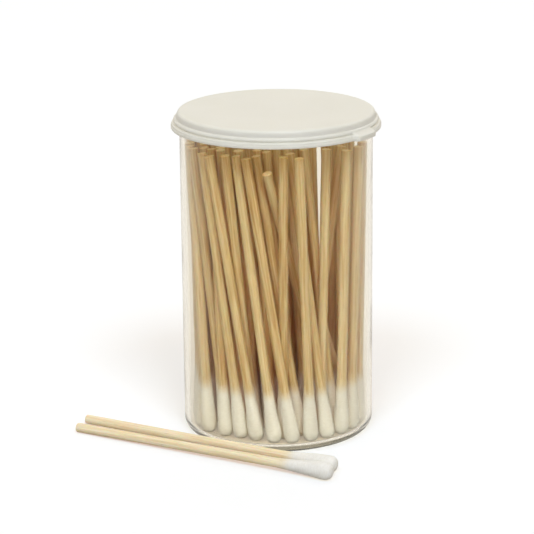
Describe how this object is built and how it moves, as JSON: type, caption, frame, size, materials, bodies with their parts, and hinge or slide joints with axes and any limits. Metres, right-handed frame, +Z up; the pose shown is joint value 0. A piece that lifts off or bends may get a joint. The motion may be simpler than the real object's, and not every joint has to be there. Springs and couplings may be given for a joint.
{
  "type": "vial of cotton swabs",
  "caption": "Clear round vial packed with single-ended cotton swabs on wooden sticks, under a white snap lid with a thumb tab, with loose swabs lying in front of it.",
  "frame": {"origin": "on the vial's axis, at the surface that the vial stands on", "axes": "+Z up along the vial's axis, -Y towards the front as pictured, +X to the right as seen from there"},
  "size_m": [0.0811, 0.0723, 0.0857],
  "materials": {
    "clear_polystyrene": "clear, polished mould",
    "white_polyethylene": "satin, slightly translucent",
    "birch": "raw, sanded",
    "cotton": "wound fibre, matte"
  },
  "bodies": {
    "vial": {"vial": "clear_polystyrene", "swab_01_stick": "birch", "swab_02_stick": "birch", "swab_03_stick": "birch", "swab_04_stick": "birch", "swab_05_stick": "birch", "swab_06_stick": "birch", "swab_07_stick": "birch", "swab_08_stick": "birch", "swab_09_stick": "birch", "swab_10_stick": "birch", "swab_11_stick": "birch", "swab_12_stick": "birch", "swab_13_stick": "birch", "swab_14_stick": "birch", "swab_15_stick": "birch", "swab_16_stick": "birch", "swab_17_stick": "birch", "swab_18_stick": "birch", "swab_19_stick": "birch", "swab_20_stick": "birch", "outer_swab_sticks": "birch", "inner_swab_sticks": "birch", "loose_rear_swab_stick": "birch", "loose_front_swab_stick": "birch", "swab_01_bud": "cotton", "swab_02_bud": "cotton", "swab_03_bud": "cotton", "swab_04_bud": "cotton", "swab_05_bud": "cotton", "swab_06_bud": "cotton", "swab_07_bud": "cotton", "swab_08_bud": "cotton", "swab_09_bud": "cotton", "swab_10_bud": "cotton", "swab_11_bud": "cotton", "swab_12_bud": "cotton", "swab_13_bud": "cotton", "swab_14_bud": "cotton", "swab_15_bud": "cotton", "swab_16_bud": "cotton", "swab_17_bud": "cotton", "swab_18_bud": "cotton", "swab_19_bud": "cotton", "swab_20_bud": "cotton", "outer_swab_buds": "cotton", "inner_swab_buds": "cotton", "loose_rear_swab_bud": "cotton", "loose_front_swab_bud": "cotton"},
    "lid": {"lid": "white_polyethylene"}
  },
  "joints": [
    {"name": "lid_lift", "type": "slide", "parent": "vial", "child": "lid", "axis": [0, 0, 1], "range_m": [0, 0.04]}
  ]
}
